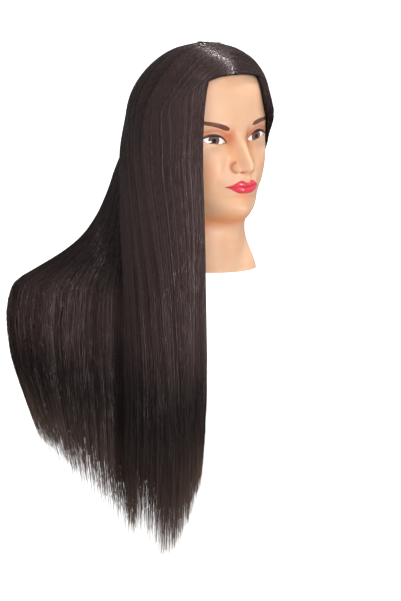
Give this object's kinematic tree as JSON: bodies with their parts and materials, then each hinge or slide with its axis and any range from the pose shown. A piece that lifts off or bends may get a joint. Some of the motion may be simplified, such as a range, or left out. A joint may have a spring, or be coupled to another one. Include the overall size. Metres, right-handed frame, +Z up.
{
  "type": "mannequin training head",
  "caption": "Hairdressing training head with a made-up face, a short neck with a clamp socket, and very long straight dark hair draped to one side.",
  "frame": {"origin": "centre of the neck's flat lower end, at the mouth of the clamp socket", "axes": "+Z up through the neck, -Y out of the face, -X towards the wearer's right side, where the hair is draped"},
  "size_m": [0.2681, 0.2707, 0.6119],
  "materials": {
    "skin": "satin",
    "foam": "matte",
    "socket": "satin",
    "eye": "gloss",
    "lash": "matte",
    "hair": "satin"
  },
  "bodies": {
    "root": {"head_skin": "skin", "foam_core": "foam", "neck_insert": "socket", "eye_right": "eye", "eye_left": "eye", "lash_right": "lash", "lash_left": "lash", "hair_right_1": "hair", "hair_right_2": "hair", "hair_right_3": "hair", "hair_right_4": "hair", "hair_right_5": "hair", "hair_right_6": "hair", "hair_fan_1": "hair", "hair_fan_2": "hair", "hair_fan_3": "hair", "hair_fan_4": "hair", "hair_fan_edge": "hair", "hair_back_1": "hair", "hair_back_2": "hair", "hair_back_3": "hair", "hair_back_4": "hair", "hair_back_5": "hair", "hair_left_1": "hair", "hair_left_2": "hair", "hair_left_3": "hair", "hair_left_4": "hair", "hair_nape_1": "hair", "hair_nape_2": "hair", "hair_nape_3": "hair"}
  },
  "joints": []
}
